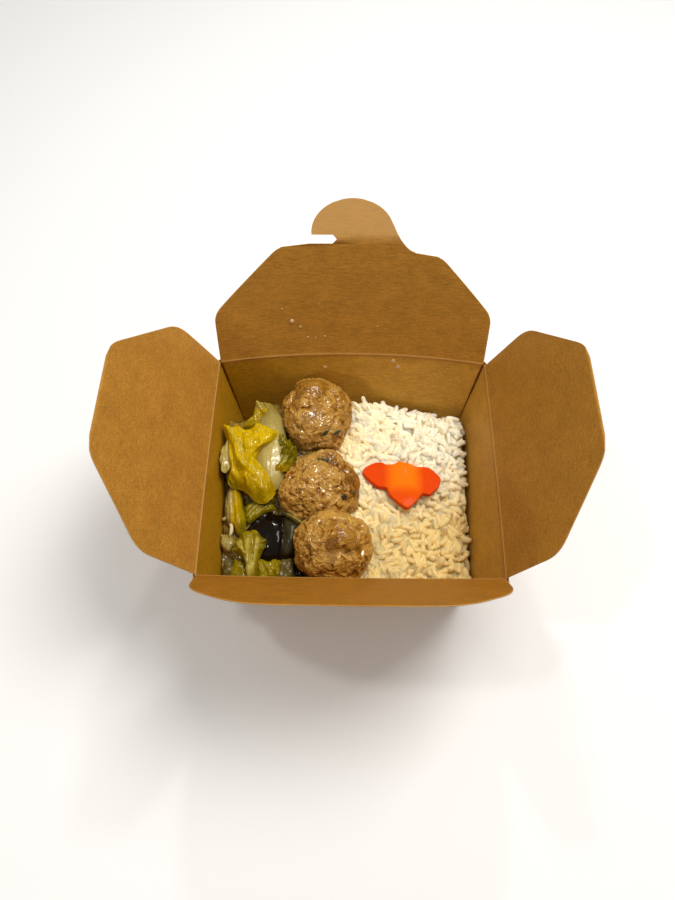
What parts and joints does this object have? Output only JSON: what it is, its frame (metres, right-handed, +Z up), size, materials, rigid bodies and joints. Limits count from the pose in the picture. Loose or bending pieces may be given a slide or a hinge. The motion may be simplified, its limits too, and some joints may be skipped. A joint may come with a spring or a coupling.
{
  "type": "meatball rice box",
  "caption": "Open folding kraft card takeaway box with hinged lid flaps, filled with white rice, glazed meatballs, braised cabbage, wood ear and a carrot slice.",
  "frame": {"origin": "middle of the box's underside", "axes": "+X to the right along the box's long side, +Y towards the flap with the locking tab, +Z up"},
  "size_m": [0.1881, 0.1676, 0.1346],
  "materials": {
    "kraft_card": "matt brown card with fine fibres, grease-proof inside",
    "cooked_rice": "moist, slightly see-through grains",
    "glazed_meat": "browned minced meat under a thin wet glaze",
    "carrot": "moist cooked carrot",
    "cabbage_leaf": "wet braised leaf",
    "cabbage_stem": "wet, see-through braised stem",
    "wood_ear": "wet, shiny black fungus"
  },
  "bodies": {
    "box": {"tray": "kraft_card", "rice": "cooked_rice", "meatball_back": "glazed_meat", "meatball_middle": "glazed_meat", "meatball_front": "glazed_meat", "carrot_slice": "carrot", "cabbage_leaf": "cabbage_leaf", "cabbage_edge": "cabbage_stem", "cabbage_stem": "cabbage_stem", "cabbage_roll": "cabbage_leaf", "cabbage_green": "cabbage_leaf", "cabbage_strip": "cabbage_leaf", "cabbage_fan": "cabbage_leaf", "cabbage_shred": "cabbage_leaf", "cabbage_chip": "cabbage_stem", "cabbage_corner": "cabbage_leaf", "cabbage_clear": "cabbage_stem", "cabbage_bed": "cabbage_leaf", "wood_ear": "wood_ear"},
    "lid_left": {"flap_left": "kraft_card"},
    "lid_right": {"flap_right": "kraft_card"},
    "lid_back": {"flap_back": "kraft_card"},
    "lid_front": {"flap_front": "kraft_card"}
  },
  "joints": [
    {"name": "left_crease", "type": "hinge", "parent": "box", "child": "lid_left", "pos_m": [-0.06475, 0, 0.0632], "axis": [0, 1, 0], "range_deg": [-80, 121.5]},
    {"name": "right_crease", "type": "hinge", "parent": "box", "child": "lid_right", "pos_m": [0.06475, 0, 0.0632], "axis": [0, -1, 0], "range_deg": [-86, 115.4]},
    {"name": "back_crease", "type": "hinge", "parent": "box", "child": "lid_back", "pos_m": [0, 0.0565, 0.064], "axis": [1, 0, 0], "range_deg": [-85, 110]},
    {"name": "front_crease", "type": "hinge", "parent": "box", "child": "lid_front", "pos_m": [0, -0.05375, 0.064], "axis": [-1, 0, 0], "range_deg": [-83, 113.9]}
  ]
}
